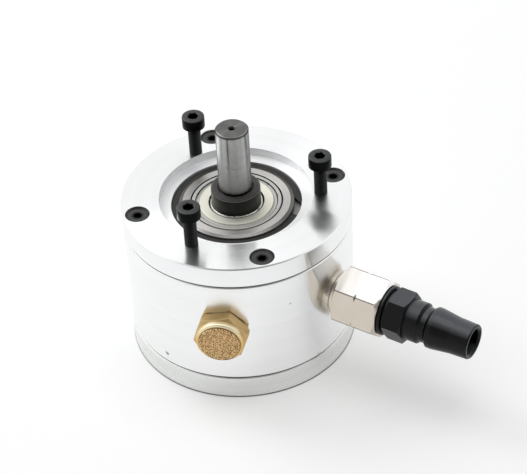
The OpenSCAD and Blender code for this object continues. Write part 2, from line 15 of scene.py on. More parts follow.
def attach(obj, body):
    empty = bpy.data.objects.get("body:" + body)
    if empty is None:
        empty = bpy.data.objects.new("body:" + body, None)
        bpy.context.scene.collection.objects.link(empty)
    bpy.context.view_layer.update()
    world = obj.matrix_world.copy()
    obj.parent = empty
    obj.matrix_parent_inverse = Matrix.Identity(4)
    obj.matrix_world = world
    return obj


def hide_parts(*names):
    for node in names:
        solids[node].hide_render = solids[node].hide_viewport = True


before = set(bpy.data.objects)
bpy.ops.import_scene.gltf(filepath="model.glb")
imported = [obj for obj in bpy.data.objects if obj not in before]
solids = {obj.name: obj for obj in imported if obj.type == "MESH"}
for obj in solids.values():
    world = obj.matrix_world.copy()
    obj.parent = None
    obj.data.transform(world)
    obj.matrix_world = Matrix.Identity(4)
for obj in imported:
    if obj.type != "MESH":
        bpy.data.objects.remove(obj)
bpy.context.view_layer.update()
MM = 0.001

# %% [markdown]
# ## The camera
# A long lens looks down on the motor from the front, a little to the right of the silencer. The camera
# could be aimed by a constraint, but three angles say it more plainly: its heading, how far it looks
# down, and a small roll that makes the shaft lean to the left.

# %% Place the camera
scene = bpy.context.scene
camera_place = Vector((24.62, -440.98, 400.62)) * MM
heading, look_down, roll = [math.radians(angle) for angle in (2.2, 39.743, -3.315)]
level = Vector((math.cos(heading), math.sin(heading), 0))
ahead = Vector((-math.sin(heading) * math.cos(look_down),
                math.cos(heading) * math.cos(look_down),
                -math.sin(look_down)))
upward = level.cross(ahead)
right = math.cos(roll) * level + math.sin(roll) * upward
top = math.cos(roll) * upward - math.sin(roll) * level
lens = bpy.data.cameras.new("photo_camera")
lens.sensor_fit = "HORIZONTAL"
lens.sensor_width = 36
lens.lens = 127.47
lens.shift_x = -0.001
lens.shift_y = 0.001
camera = bpy.data.objects.new("photo_camera", lens)
scene.collection.objects.link(camera)
camera.matrix_world = Matrix.Translation(camera_place) @ Matrix((right, top, -ahead)).transposed().to_4x4()
scene.camera = camera
scene.view_settings.view_transform = "Standard"
print("camera", [round(c, 3) for c in camera.location], "m, lens", lens.lens, "mm")

# %% [markdown]
# ## Short words for nodes
# Every tree below is a handful of nodes and links. A helper that adds a node, sets its properties and
# fills its inputs in one line keeps the trees readable: a number is set on a socket, and another node's
# output is linked to it.


# %% Helpers that add a node
def put(tree, kind, inputs=(), **settings):
    node = tree.nodes.new(kind)
    for key, value in settings.items():
        setattr(node, key, value)
    for key, value in dict(inputs).items():
        if isinstance(value, bpy.types.NodeSocket):
            tree.links.new(value, node.inputs[key])
        else:
            node.inputs[key].default_value = value
    return node


def maths(tree, operation, *values):
    return put(tree, "ShaderNodeMath", dict(enumerate(values)), operation=operation).outputs[0]


def vectors(tree, operation, *values):
    node = put(tree, "ShaderNodeVectorMath", dict(enumerate(values)), operation=operation)
    one_number = operation in ("DOT_PRODUCT", "LENGTH", "DISTANCE")
    return node.outputs["Value" if one_number else "Vector"]


print("helpers: put, maths, vectors")

# %% [markdown]
# Most patterns come down to a mask, which is a number from 0 to 1 that says where something is. Many are
# made from a height or from the distance to the motor's axis, and a mask then chooses between two tones.
# Map Range holds its value outside its limits, so one node makes a clean step or a soft edge.


# %% Helpers for masks and tones
def between(tree, value, low, high, start=0.0, end=1.0):
    """Turns start..end of a value into low..high, and holds it there outside."""
    words = {"Value": value, "From Min": start, "From Max": end, "To Min": low, "To Max": high}
    return put(tree, "ShaderNodeMapRange", words).outputs[0]


def above(tree, value, start, end):
    """0 up to start and 1 from end on."""
    return between(tree, value, 0.0, 1.0, start, end)


def two_tone(tree, mask, first, second):
    """The first colour where the mask is 0, the second where it is 1."""
    inputs = {0: mask}
    for key, tone in ((6, first), (7, second)):
        inputs[key] = tone if isinstance(tone, bpy.types.NodeSocket) else (*tone, 1)
    return put(tree, "ShaderNodeMix", inputs, data_type="RGBA").outputs[2]


print("helpers: between, above, two_tone")

# %% [markdown]
# ## A white studio
# The motor was shot on a white sweep. A world of one white would make bright metal look flat, because
# metal only shows what is round it. So the world is white all round but for a soft dark patch behind the
# camera, where a studio has no screen. That patch draws the dark lines in the seams and countersinks.
# Camera, mirror and see-through rays get the backdrop at full strength, and plain light from it is
# weaker, so the backdrop is white without flooding the motor.


# %% World
def seen_rays(tree):
    """1 for camera, mirror and see-through rays, and 0 for plain light."""
    path = put(tree, "ShaderNodeLightPath").outputs
    shown = maths(tree, "MAXIMUM", path["Is Camera Ray"], path["Is Glossy Ray"])
    return maths(tree, "MAXIMUM", shown, path["Is Transmission Ray"])


studio = bpy.data.worlds.new("white_studio")
studio.use_nodes = True
scene.world = studio
tree = studio.node_tree
tree.nodes.clear()
dark_side = Vector((0.08, -0.85, 0.5)).normalized()
patch_edge, patch_middle = 0.46, 0.97
direction = put(tree, "ShaderNodeTexCoord").outputs["Generated"]
facing = vectors(tree, "DOT_PRODUCT", direction, dark_side)
in_patch = above(tree, facing, patch_edge, patch_middle)
backdrop = two_tone(tree, in_patch, (1.0, 1.0, 1.0), (0.19, 0.19, 0.19))
strength = between(tree, seen_rays(tree), 0.5, 1.0)
glow = put(tree, "ShaderNodeBackground", {"Color": backdrop, "Strength": strength})
put(tree, "ShaderNodeOutputWorld", {"Surface": glow.outputs[0]})
print("world", studio.name, "with", len(tree.nodes), "nodes")

# %% [markdown]
# The floor is a wide pale sheet that carries the soft shadow. A little of its own light, for the same
# three kinds of ray, lifts it to the white of the backdrop and leaves the shadow in it. Under the motor
# it has none, so the foot keeps its thin dark line.

# %% Floor
half, floor_drop = 4.0, 0.05 * MM
corners = [(-half, -half, 0), (half, -half, 0), (half, half, 0), (-half, half, 0)]
sheet_mesh = bpy.data.meshes.new("floor")
sheet_mesh.from_pydata(corners, [], [(0, 1, 2, 3)])
floor = bpy.data.objects.new("floor", sheet_mesh)
floor.location.z = -floor_drop
scene.collection.objects.link(floor)
paper = bpy.data.materials.new("white_sweep")
paper.use_nodes = True
tree = paper.node_tree
tree.nodes.clear()
place = put(tree, "ShaderNodeTexCoord").outputs["Object"]
fibre = put(tree, "ShaderNodeTexNoise", {"Vector": place, "Scale": 6.0}).outputs[0]
foot_edge, glow_edge, full_glow = 34.95 * MM, 35.3 * MM, 0.435
own_light = between(tree, vectors(tree, "LENGTH", place), 0.0, full_glow, foot_edge, glow_edge)
sweep = put(tree, "ShaderNodeBsdfPrincipled", {
    "Base Color": two_tone(tree, fibre, (0.62, 0.625, 0.625), (0.645, 0.65, 0.65)),
    "Roughness": 0.9,
    "Specular IOR Level": 0.1,
    "Emission Color": (1, 1, 1, 1),
    "Emission Strength": maths(tree, "MULTIPLY", seen_rays(tree), own_light)})
put(tree, "ShaderNodeOutputMaterial", {"Surface": sweep.outputs[0]})
sheet_mesh.materials.append(paper)
print("floor", 2 * half, "m wide")

# %% [markdown]
# Two large soft lamps finish the set: one high on the left and behind, which throws the faint shadow to
# the lower right, and a weaker one overhead. Large lamps are used because a small one would leave hard
# spots on the turned faces.


# %% Lamps
def soft_lamp(name, place, size, watts):
    lamp = bpy.data.lights.new(name, "AREA")
    lamp.shape = "DISK"
    lamp.size = size
    lamp.energy = watts
    holder = bpy.data.objects.new(name, lamp)
    holder.location = place
    holder.rotation_euler = (middle_of_motor - Vector(place)).to_track_quat("-Z", "Y").to_euler()
    scene.collection.objects.link(holder)


middle_of_motor = Vector((0, 0, 0.03))
soft_lamp("left_back_softbox", (-0.75, 0.55, 1.0), size=0.8, watts=7.0)
soft_lamp("overhead_softbox", (0.1, 0.1, 1.3), size=0.9, watts=4.0)

# %% [markdown]
# ## Effects that several finishes share
# Edge wear, smudges or lathe marks appear on more than one metal. Each could be built again in every
# material, but a node group with named inputs is built once and placed in each finish with its own
# values.


# %% Helpers for groups
def sockets(tree, direction, *rows):
    """Adds named sockets to a group and returns their identifiers by name."""
    names = {}
    for name, kind, *value in rows:
        socket = tree.interface.new_socket(name=name, in_out=direction, socket_type="NodeSocket" + kind)
        if value:
            socket.default_value = value[0]
        names[name] = socket.identifier
    return names


def effect(name, inputs, *outputs):
    """A shader group. Its outputs are given by name: Normal is a vector, the others are values."""
    tree = bpy.data.node_groups.new(name, "ShaderNodeTree")
    sockets(tree, "INPUT", *inputs)
    sockets(tree, "OUTPUT", *[(label, "Vector" if label == "Normal" else "Float") for label in outputs])
    return tree, tree.nodes.new("NodeGroupInput").outputs, tree.nodes.new("NodeGroupOutput")


def hand_out(tree, gives, **values):
    for label, value in values.items():
        tree.links.new(value, gives.inputs[label])
    print(tree.name, "gives", ", ".join(values), "from", len(tree.nodes), "nodes")


print("helpers: sockets, effect, hand_out")

# %% [markdown]
# A lathe leaves fine rings round the axis, on flat faces as circles and on walls as hoops. Both are the
# same pattern when it is read from the distance to the axis and the height, so one noise in those two
# numbers serves every turned piece. It could be done with a wave texture, but real feed marks are
# uneven, and noise is too.


# %% Effect: lathe marks
def height_of(tree, place):
    return put(tree, "ShaderNodeSeparateXYZ", {0: place}).outputs[2]


def from_axis(tree, place):
    """Distance from the Z axis."""
    x, y, _ = put(tree, "ShaderNodeSeparateXYZ", {0: place}).outputs
    squares = [maths(tree, "MULTIPLY", side, side) for side in (x, y)]
    return maths(tree, "SQRT", maths(tree, "ADD", *squares))


lathe_marks, given, gives = effect(
    "Lathe marks", [("Position", "Vector"), ("Feed", "Float", 0.2 * MM)], "Height", "Band", "Reach")
reach = from_axis(lathe_marks, given["Position"])
out_steps = maths(lathe_marks, "DIVIDE", reach, given["Feed"])
up_steps = maths(lathe_marks, "DIVIDE", height_of(lathe_marks, given["Position"]), given["Feed"])
ring_place = put(lathe_marks, "ShaderNodeCombineXYZ", {0: out_steps, 1: up_steps}).outputs[0]
rings = {}
for label, scale, detail in (("Height", 1.0, 2.0), ("Band", 0.07, 3.0)):
    grain = {"Vector": ring_place, "Scale": scale, "Detail": detail, "Roughness": 0.6}
    rings[label] = put(lathe_marks, "ShaderNodeTexNoise", grain, noise_dimensions="2D").outputs[0]
hand_out(lathe_marks, gives, Reach=reach, **rings)

# %% [markdown]
# Bare metal that has been handled is never evenly clean. A slow, cloudy noise gives faint smudges, which
# the finishes use for small changes of shine and tone.


# %% Effect: smudges
def counted(tree, position, size):
    """The position counted in steps of a size, so that a texture's features come out that big."""
    inputs = {0: position, "Scale": maths(tree, "DIVIDE", 1.0, size)}
    return put(tree, "ShaderNodeVectorMath", inputs, operation="SCALE").outputs["Vector"]


smudges, given, gives = effect("Smudges", [("Position", "Vector"), ("Size", "Float", 12 * MM)], "Smudge")
cloud = put(smudges, "ShaderNodeTexNoise", {
    "Vector": counted(smudges, given["Position"], given["Size"]),
    "Scale": 1.0, "Detail": 4.0, "Roughness": 0.62, "Distortion": 0.4}).outputs[0]
hand_out(smudges, gives, Smudge=above(smudges, cloud, 0.32, 0.68))

# %% [markdown]
# Blackened, plated and moulded skins have a very fine tooth. A texture of small cells gives it, with some
# cells lighter, and their height roughens the skin a little. Noise would look cloudy at this size.

# %% Effect: fine tooth
tooth, given, gives = effect(
    "Fine tooth", [("Position", "Vector"), ("Size", "Float", 0.1 * MM)], "Speck", "Height")
cell_place = counted(tooth, given["Position"], given["Size"])
cells = put(tooth, "ShaderNodeTexVoronoi", {"Vector": cell_place, "Scale": 1.0}).outputs
grey = put(tooth, "ShaderNodeSeparateColor", {0: cells["Color"]}).outputs[0]
hand_out(tooth, gives, Speck=above(tooth, grey, 0.55, 1.0), Height=cells["Distance"])

# %% [markdown]
# Edges of machined pieces are broken with a file, and the finishes paint them lighter, partly as wear
# and partly as painted highlight. The Bevel node looks round a point for a second face, so the angle
# between its answer and the plain normal marks the edges, and its answer is also a rounded normal that
# catches light as a real edge does. Modelling each radius would cost far more triangles for the same
# look.


# %% Effect: broken edges
def below(tree, value, start, end):
    """1 up to start and 0 from end on."""
    return between(tree, value, 1.0, 0.0, start, end)


broken_edges, given, gives = effect("Broken edges", [("Radius", "Float", 0.2 * MM)], "Edge", "Normal")
rounded = put(broken_edges, "ShaderNodeBevel", {"Radius": given["Radius"]}, samples=4).outputs[0]
plain = put(broken_edges, "ShaderNodeNewGeometry").outputs["Normal"]
same = vectors(broken_edges, "DOT_PRODUCT", rounded, plain)
hand_out(broken_edges, gives, Edge=below(broken_edges, same, 0.8, 0.99), Normal=rounded)

# %% [markdown]
# Dirt and shadow gather in the narrow gaps between the rings of a bearing, which then read as thin dark
# circles. A mask that is 1 at one radius and fades on both sides can be placed on each ring that borders
# the gap. At radius 0 it is a dark spot on the axis.

# %% Effect: crevice line
crevice, given, gives = effect("Crevice line", [
    ("Position", "Vector"), ("Radius", "Float", 10 * MM), ("Width", "Float", 0.3 * MM)], "Line")
off_line = maths(crevice, "SUBTRACT", from_axis(crevice, given["Position"]), given["Radius"])
widths_off = maths(crevice, "DIVIDE", maths(crevice, "ABSOLUTE", off_line), given["Width"])
hand_out(crevice, gives, Line=below(crevice, widths_off, 0.75, 1.1))

# %% [markdown]
# The cones of the countersinks are painted dark round the screw heads, as painted shade. The four
# screws stand on a circle at right angles, so the place is turned until they lie on the X and Y axes and
# folded into one quarter, and one distance then serves all four.

# %% Effect: countersinks
plate_screw_turn = math.radians(15)
countersinks, given, gives = effect("Countersinks", [
    ("Position", "Vector"), ("Circle", "Float", 30.5 * MM), ("Size", "Float", 3.74 * MM)], "Inside")
turning = {"Vector": given["Position"], "Angle": -plate_screw_turn}
squared_up = put(countersinks, "ShaderNodeVectorRotate", turning, rotation_type="Z_AXIS").outputs[0]
spot = put(countersinks, "ShaderNodeSeparateXYZ", {0: squared_up}).outputs
folded = [maths(countersinks, "ABSOLUTE", spot[axis]) for axis in (0, 1)]
past = maths(countersinks, "SUBTRACT", maths(countersinks, "MAXIMUM", *folded), given["Circle"])
aside = maths(countersinks, "MINIMUM", *folded)
beside_screw = put(countersinks, "ShaderNodeCombineXYZ", {0: past, 1: aside}).outputs[0]
sizes_off = maths(countersinks, "DIVIDE", from_axis(countersinks, beside_screw), given["Size"])
hand_out(countersinks, gives, Inside=below(countersinks, sizes_off, 0.98, 1.0))

# %% [markdown]
# The wall has a few small marks from handling: a ding near the lower seam, and one or two specks. Each
# is a soft spot round a point, with its outline shaken by noise.

# %% Effect: small mark
small_mark, given, gives = effect(
    "Small mark", [("Position", "Vector"), ("Centre", "Vector"), ("Size", "Float", 0.6 * MM)], "Mark")
shake = {"Vector": given["Position"], "Scale": 1400.0, "Detail": 2.0}
shaken = put(small_mark, "ShaderNodeTexNoise", shake).outputs[0]
away = vectors(small_mark, "DISTANCE", given["Position"], given["Centre"])
sizes_off = maths(small_mark, "DIVIDE", away, given["Size"])
ragged = maths(small_mark, "ADD", sizes_off, maths(small_mark, "SUBTRACT", shaken, 0.5))
hand_out(small_mark, gives, Mark=below(small_mark, ragged, 0.55, 1.0))

# %% [markdown]
# ## Finishes
# Each finish starts the same way: a Principled shader, the piece's own Object coordinates, and the
# effects placed with values for that metal. Numbers that are the same all over stay on the shader's own
# sockets.


# %% Helpers for finishes
def finish(name, **constants):
    """A material with a Principled shader. Gives the material, its tree, the shader and the coordinates."""
    paint = bpy.data.materials.new(name)
    paint.use_nodes = True
    tree = paint.node_tree
    tree.nodes.clear()
    words = {key.replace("_", " ").title().replace("Ior", "IOR"): value for key, value in constants.items()}
    shader = put(tree, "ShaderNodeBsdfPrincipled", words)
    put(tree, "ShaderNodeOutputMaterial", {"Surface": shader.outputs[0]})
    return paint, tree, shader, put(tree, "ShaderNodeTexCoord").outputs["Object"]


def use(tree, group, **inputs):
    values = {key.title(): value for key, value in inputs.items()}
    return put(tree, "ShaderNodeGroup", values, node_tree=group).outputs


def feed(tree, shader, **values):
    for key, value in values.items():
        tree.links.new(value, shader.inputs[key.replace("_", " ").title()])


def relief(tree, height, depth, normal=None):
    words = {"Height": height, "Distance": depth, "Strength": 1.0}
    if normal is not None:
        words["Normal"] = normal
    return put(tree, "ShaderNodeBump", words).outputs[0]


def dress(paint, *names):
    for name in names:
        solids[name].data.materials.clear()
        solids[name].data.materials.append(paint)
    print(paint.name, "on", ", ".join(names))


print("helpers: finish, use, feed, relief, dress")

# %% [markdown]
# The housing is aluminium bar, turned bright. Its mirror is soft, and it is softer across the feed marks
# than along them, so the silencer and the inlet show in the wall as clouds drawn out along the axis. The
# shader's own anisotropy gives that, with a tangent that runs round the axis. The register in the front
# plate was bored with another tool and left matt, so it scatters light more than it mirrors it and its
# Metallic is turned down. The pocket under the snap ring is painted darker towards its floor, as painted
# shade, and the countersink cones are painted dark as painted shade too. The rear plate is a duller cut
# too, with a thin dark line painted at its foot as painted shade, so one function makes all of them.


# %% Turned aluminium
def smear_round_axis(tree, shader):
    tangent = put(tree, "ShaderNodeTangent", direction_type="RADIAL", axis="Z")
    feed(tree, shader, tangent=tangent.outputs[0])


def turned_aluminium(name, dark, light, smooth, rough, marks=(), register=None, foot=None, sinks=False):
    """Sizes are in millimetres. A register is (radius, height of rim, of ledge, of pocket floor)."""
    paint, tree, shader, place = finish(name, metallic=1.0, anisotropic=0.9, anisotropic_rotation=0.25)
    smear_round_axis(tree, shader)
    lathe = use(tree, lathe_marks, position=place, feed=0.18 * MM)
    smudge = use(tree, smudges, position=place, size=14 * MM)["Smudge"]
    height = height_of(tree, place)
    tone = two_tone(tree, lathe["Band"], dark, light)
    dulled = smudge
    for centre, size in marks:
        mark = use(tree, small_mark, position=place, centre=Vector(centre) * MM, size=size * MM)["Mark"]
        tone = two_tone(tree, mark, tone, bruise)
        dulled = maths(tree, "MAXIMUM", dulled, mark)
    dullness = between(tree, dulled, smooth, rough)
    if sinks:
        # Painted shade: the countersink cones are painted nearly black round the screw heads.
        cone = use(tree, countersinks, position=place)["Inside"]
        tone = two_tone(tree, cone, tone, painted_cone_shade)
        dullness = between(tree, cone, dullness, cone_dullness)
    if foot:
        # Painted shade: a thin dark line on the edge break at the plate's foot.
        low_down = below(tree, height, 0.3 * MM, 0.4 * MM)
        far_out = above(tree, lathe["Reach"], foot * MM, (foot + 0.1) * MM)
        tone = two_tone(tree, maths(tree, "MULTIPLY", low_down, far_out), tone, painted_foot_shade)
    if register:
        radius, rim, ledge, pocket_floor = [size * MM for size in register]
        within = below(tree, lathe["Reach"], radius, radius + 0.1 * MM)
        bored = maths(tree, "MULTIPLY", within, below(tree, height, rim - 0.1 * MM, rim))
        # Painted shade: the pocket under the snap ring darkens towards its floor.
        deep = maths(tree, "MULTIPLY", within, below(tree, height, pocket_floor, ledge))
        tone = two_tone(tree, deep, two_tone(tree, bored, tone, bored_bright), painted_pocket_shade)
        dullness = between(tree, bored, dullness, bored_dullness)
        feed(tree, shader, metallic=between(tree, bored, 1.0, bored_metal))
    normal = relief(tree, lathe["Height"], 0.0012 * MM)
    feed(tree, shader, base_color=tone, roughness=dullness, normal=normal)
    return paint


bruise, painted_foot_shade = (0.34, 0.34, 0.33), (0.12, 0.12, 0.115)
# Painted shade for the countersink cones and for the pocket under the snap ring.
painted_cone_shade, painted_pocket_shade = (0.06, 0.06, 0.057), (0.3, 0.295, 0.28)
bored_bright = (0.97, 0.98, 0.985)
cone_dullness, bored_dullness, bored_metal = 0.5, 0.36, 0.4
print("bored register: roughness", bored_dullness, "and Metallic", bored_metal)

# %% [markdown]
# The front plate has the brightest cut, with the register and the countersinks. The wall keeps its marks
# from handling, and the rear plate is a shade darker.

# %% Finish the housing
bright_cut = turned_aluminium(
    "turned_aluminium", dark=(0.885, 0.9, 0.905), light=(0.945, 0.955, 0.96), smooth=0.18, rough=0.23,
    register=(23.45, 50.95, 48.25, 46.65), sinks=True)
dress(bright_cut, "front_plate")
wall_marks = [((-22.7, -26.6, 11.2), 0.75), ((-23.0, -26.3, 11.5), 0.5),
              ((15.55, -31.4, 34.2), 0.3), ((23.2, -26.2, 9.0), 0.25)]
wall_cut = turned_aluminium(
    "turned_wall", dark=(0.88, 0.89, 0.885), light=(0.94, 0.948, 0.943), smooth=0.185, rough=0.21,
    marks=wall_marks)
dress(wall_cut, "stator_body")
dull_cut = turned_aluminium(
    "dull_cut_aluminium", dark=(0.76, 0.77, 0.755), light=(0.86, 0.87, 0.85), smooth=0.25, rough=0.29,
    foot=34.6, sinks=True)
dress(dull_cut, "rear_plate")

# %% [markdown]
# The seams show as thin lines: grey paper gaskets, set back between the edge breaks of the plates, which
# reflect the dark side of the studio. Their edge is fibrous, so a fine tooth sets the tone, and the
# surface is dull.

# %% Gaskets
paint, tree, shader, place = finish("oiled_gasket", roughness=0.8, specular_ior_level=0.2)
fibres = use(tree, tooth, position=place, size=0.25 * MM)
tone = two_tone(tree, fibres["Speck"], (0.12, 0.12, 0.115), (0.23, 0.23, 0.22))
feed(tree, shader, base_color=tone, normal=relief(tree, fibres["Height"], 0.02 * MM))
dress(paint, "front_gasket", "rear_gasket")

# %% [markdown]
# Screws, collar, snap ring and plug are blackened: nearly black, dull, with edges where the black has
# begun to wear off. A plain black would swallow their shapes, so the broken-edge effect lifts the tone
# there, partly as wear and partly as painted highlight, and rounds the normal. Four extras are switched
# on where a piece shows them. The collar has a painted highlight line at its shoulder and is painted a
# little lighter above it. The plug is painted lighter grey on the faces that look up, as painted light
# from above, which the Normal coordinate finds. The countersunk heads are painted darker at their rim
# and in the socket, as painted shade. The cap screws are painted darker below the tops of their heads,
# as painted shade on their sides, apart from the crests of the thread, which are painted lighter as wear
# and painted highlight. A metal with a near-black tone mirrors very little, so Metallic is turned up there.


# %% Blackened steel
def times(factor, tone):
    return [factor * part for part in tone]


def blackened(name, dark, wear_and_highlight, smooth, rough, shine,
              shoulder=None, lit_from_above=False, sunk=False, threaded=False):
    """The shoulder is a height in millimetres."""
    paint, tree, shader, place = finish(name, specular_ior_level=shine)
    edge = use(tree, broken_edges, radius=0.18 * MM)
    skin = use(tree, tooth, position=place, size=0.12 * MM)
    smudge = use(tree, smudges, position=place, size=4 * MM)["Smudge"]
    height = height_of(tree, place)
    # The edges are painted lighter, partly as wear and partly as painted highlight.
    edge_lift = maths(tree, "MULTIPLY", edge["Edge"], between(tree, smudge, 0.35, 1.0))
    tone = two_tone(tree, edge_lift, two_tone(tree, skin["Speck"], dark, times(1.5, dark)), wear_and_highlight)
    if shoulder:
        # Painted light: a thin highlight line at the shoulder, and the top above it painted a little
        # lighter.
        upper = between(tree, height, 0.0, 0.16, (shoulder - 0.05) * MM, shoulder * MM)
        off_line = maths(tree, "ABSOLUTE", maths(tree, "SUBTRACT", height, shoulder * MM))
        line = between(tree, off_line, 0.7, 0.0, 0.05 * MM, 0.13 * MM)
        tone = two_tone(tree, line, two_tone(tree, upper, tone, wear_and_highlight), wear_and_highlight)
    if lit_from_above:
        # Painted light: the faces that look up are painted lighter, as lit from above.
        facing_up = height_of(tree, put(tree, "ShaderNodeTexCoord").outputs["Normal"])
        tone = two_tone(tree, above(tree, facing_up, 0.7, 0.9), tone, wear_and_highlight)
    if sunk:
        # Painted shade: the rim round each head and the socket's mouth are painted darker.
        face = use(tree, countersinks, position=place, size=3.1 * MM)["Inside"]
        mouth = use(tree, countersinks, position=place, size=1.9 * MM)["Inside"]
        tone = two_tone(tree, mouth, two_tone(tree, face, times(0.1, dark), tone), times(0.05, dark))
    if threaded:
        # Painted shade: the heads' sides and the shanks are painted darker, with Metallic up so they mirror
        # little.
        shaded_side = below(tree, height, cap_side_top * MM, (cap_side_top + 0.25) * MM)
        crest = put(tree, "ShaderNodeAttribute", attribute_name="crest").outputs["Fac"]
        tone = two_tone(tree, crest, two_tone(tree, shaded_side, tone, times(0.2, dark)), times(0.6, wear_and_highlight))
        feed(tree, shader, metallic=shaded_side)
    dullness = between(tree, smudge, smooth, rough)
    normal = relief(tree, skin["Height"], 0.003 * MM, edge["Normal"])
    feed(tree, shader, base_color=tone, roughness=dullness, normal=normal)
    return paint


cap_side_top = 64.3
print("the sides of the cap screws' heads end", cap_side_top, "mm up")

# %% [markdown]
# The blacks differ in depth and shine. The snap ring is the dullest, the plug is the deepest and the
# smoothest, and the screws and the collar lie between. Each could be a material written out in full, but
# a call with its own tones shows the differences at a glance.

# %% Finish the black pieces
black_oxide = blackened(
    "black_oxide", dark=(0.042, 0.045, 0.045), wear_and_highlight=(0.07, 0.073, 0.072), smooth=0.38, rough=0.52,
    shine=0.3, sunk=True)
dress(black_oxide, "front_plate_screws", "rear_plate_screws")
cap_black = blackened(
    "rubbed_and_shaded_caps", dark=(0.034, 0.036, 0.036), wear_and_highlight=(0.1, 0.105, 0.104), smooth=0.3, rough=0.42,
    shine=0.32, threaded=True)
collar_black = blackened(
    "blackened_collar", dark=(0.012, 0.0115, 0.01), wear_and_highlight=(0.26, 0.25, 0.23), smooth=0.34, rough=0.46,
    shine=0.3, shoulder=53.85)
dress(collar_black, "spacer_collar")
ring_black = blackened(
    "phosphated_ring", dark=(0.03, 0.03, 0.028), wear_and_highlight=(0.1, 0.1, 0.094), smooth=0.5, rough=0.65,
    shine=0.22)
dress(ring_black, "front_bearing_snap_ring")
plug_black = blackened(
    "black_plug", dark=(0.0015, 0.0018, 0.002), wear_and_highlight=(0.082, 0.088, 0.096), smooth=0.2, rough=0.28,
    shine=0.2, lit_from_above=True)
dress(plug_black, "inlet_plug")

# %% [markdown]
# The bearing has four steels: a ground outer ring, a pressed shield with a warm tint, a polished inner
# ring and hidden balls. They differ in tone, gloss and a few circles, such as the grey crimped rim of
# the shield or the dark edge break of the outer ring, so one function makes them. Their edges are painted
# lighter, as painted highlight. The shaft is ground round its axis, so its mirror is smeared lengthwise
# like the housing's. Its cut end is darker and its chamfer nearly black, and the relief at its foot is
# painted nearly black, as painted shade in the groove.


# %% Bearing steels and shaft
def shaft_bands(tree, place, tone, light, end):
    """Darkens a shaft's end, which starts at a height in millimetres, and its chamfer and foot."""
    chamfer_middle = end - 0.43
    foot_low, foot_top = 53.5, 54.75
    height = height_of(tree, place)
    cut_end = above(tree, height, (end - 0.05) * MM, end * MM)
    off_chamfer = maths(tree, "ABSOLUTE", maths(tree, "SUBTRACT", height, chamfer_middle * MM))
    chamfer = between(tree, off_chamfer, 0.9, 0.0, 0.24 * MM, 0.36 * MM)
    # Painted shade: the relief groove at the foot is painted nearly black.
    over_seat = above(tree, height, foot_low * MM, (foot_low + 0.1) * MM)
    under_shank = below(tree, height, foot_top * MM, (foot_top + 0.05) * MM)
    foot = maths(tree, "MULTIPLY", over_seat, under_shank)
    for mask, factor in ((cut_end, 0.32), (chamfer, 0.12), (foot, 0.12)):
        tone = two_tone(tree, mask, tone, times(factor, light))
    return tone


def ground_steel(name, dark, light, smooth, rough,
                 lines=(), outside=None, end=None, smear=0.0, edge_width=0.12):
    """Lines are (radius, width) and outside is (radius, tone beyond it). Sizes are in millimetres."""
    paint, tree, shader, place = finish(
        name, metallic=1.0, anisotropic=smear, anisotropic_rotation=0.25,
        specular_tint=(0.35, 0.35, 0.35, 1))
    smear_round_axis(tree, shader)
    lathe = use(tree, lathe_marks, position=place, feed=0.12 * MM)
    smudge = use(tree, smudges, position=place, size=6 * MM)["Smudge"]
    edge = use(tree, broken_edges, radius=edge_width * MM)
    # The edges are painted lighter, as painted highlight.
    edge_lift = maths(tree, "MULTIPLY", edge["Edge"], 0.4)
    tone = two_tone(tree, edge_lift, two_tone(tree, lathe["Band"], dark, light), times(1.5, light))
    dullness = between(tree, smudge, smooth, rough)
    if outside:
        radius, outer_tone = outside
        outer = above(tree, lathe["Reach"], radius * MM, (radius + 0.08) * MM)
        tone = two_tone(tree, outer, tone, outer_tone)
    for radius, width in lines:
        line = use(tree, crevice, position=place, radius=radius * MM, width=width * MM)["Line"]
        # Dirt and painted shade in the narrow gaps and at the rim's edge.
        tone = two_tone(tree, line, tone, gap_dirt_and_shade)
        dullness = between(tree, line, dullness, gap_dullness)
    if end:
        tone = shaft_bands(tree, place, tone, light, end)
    normal = relief(tree, lathe["Height"], 0.0008 * MM, edge["Normal"])
    feed(tree, shader, base_color=tone, roughness=dullness, normal=normal)
    return paint


gap_dirt_and_shade, gap_dullness = (0.012, 0.012, 0.011), 0.6
outer_gap, inner_gap, rim_edge = (13.9, 0.24), (8.3, 0.22), (12.5, 0.13)
turning_centre = (0.0, 1.3)
print("dark circles at", [circle[0] for circle in (outer_gap, inner_gap, rim_edge)], "mm")

# %% [markdown]
# Two dark circles of dirt and painted shade stand where the rings of the bearing meet, and one marks the
# edge of the shield's rim.
# A gap has a piece on each side, and a line on only one of them would look cut in half, so each gap is
# named once and given to both pieces. The rear bearing takes the same finishes.

# %% Finish the bearings and the shaft
outer_steel = ground_steel(
    "ground_outer_ring", dark=(0.42, 0.414, 0.395), light=(0.57, 0.562, 0.54), smooth=0.3, rough=0.4,
    lines=[outer_gap], outside=(16.38, (0.17, 0.165, 0.16)), smear=0.6)
dress(outer_steel, "front_bearing_outer_ring", "rear_bearing_outer_ring")
shield_steel = ground_steel(
    "pressed_shield", dark=(0.64, 0.635, 0.555), light=(0.75, 0.74, 0.655), smooth=0.5, rough=0.6,
    lines=[outer_gap, inner_gap, rim_edge], outside=(11.42, (0.46, 0.46, 0.44)), edge_width=0.25)
dress(shield_steel, "front_bearing_shields", "rear_bearing_shields")
inner_steel = ground_steel(
    "polished_inner_ring", dark=(0.5, 0.5, 0.46), light=(0.66, 0.655, 0.61), smooth=0.18, rough=0.26,
    lines=[inner_gap])
dress(inner_steel, "front_bearing_inner_ring", "rear_bearing_inner_ring")
ball_steel = ground_steel(
    "bearing_balls", dark=(0.55, 0.55, 0.53), light=(0.7, 0.7, 0.68), smooth=0.06, rough=0.12)
dress(ball_steel, "front_bearing_balls", "rear_bearing_balls")
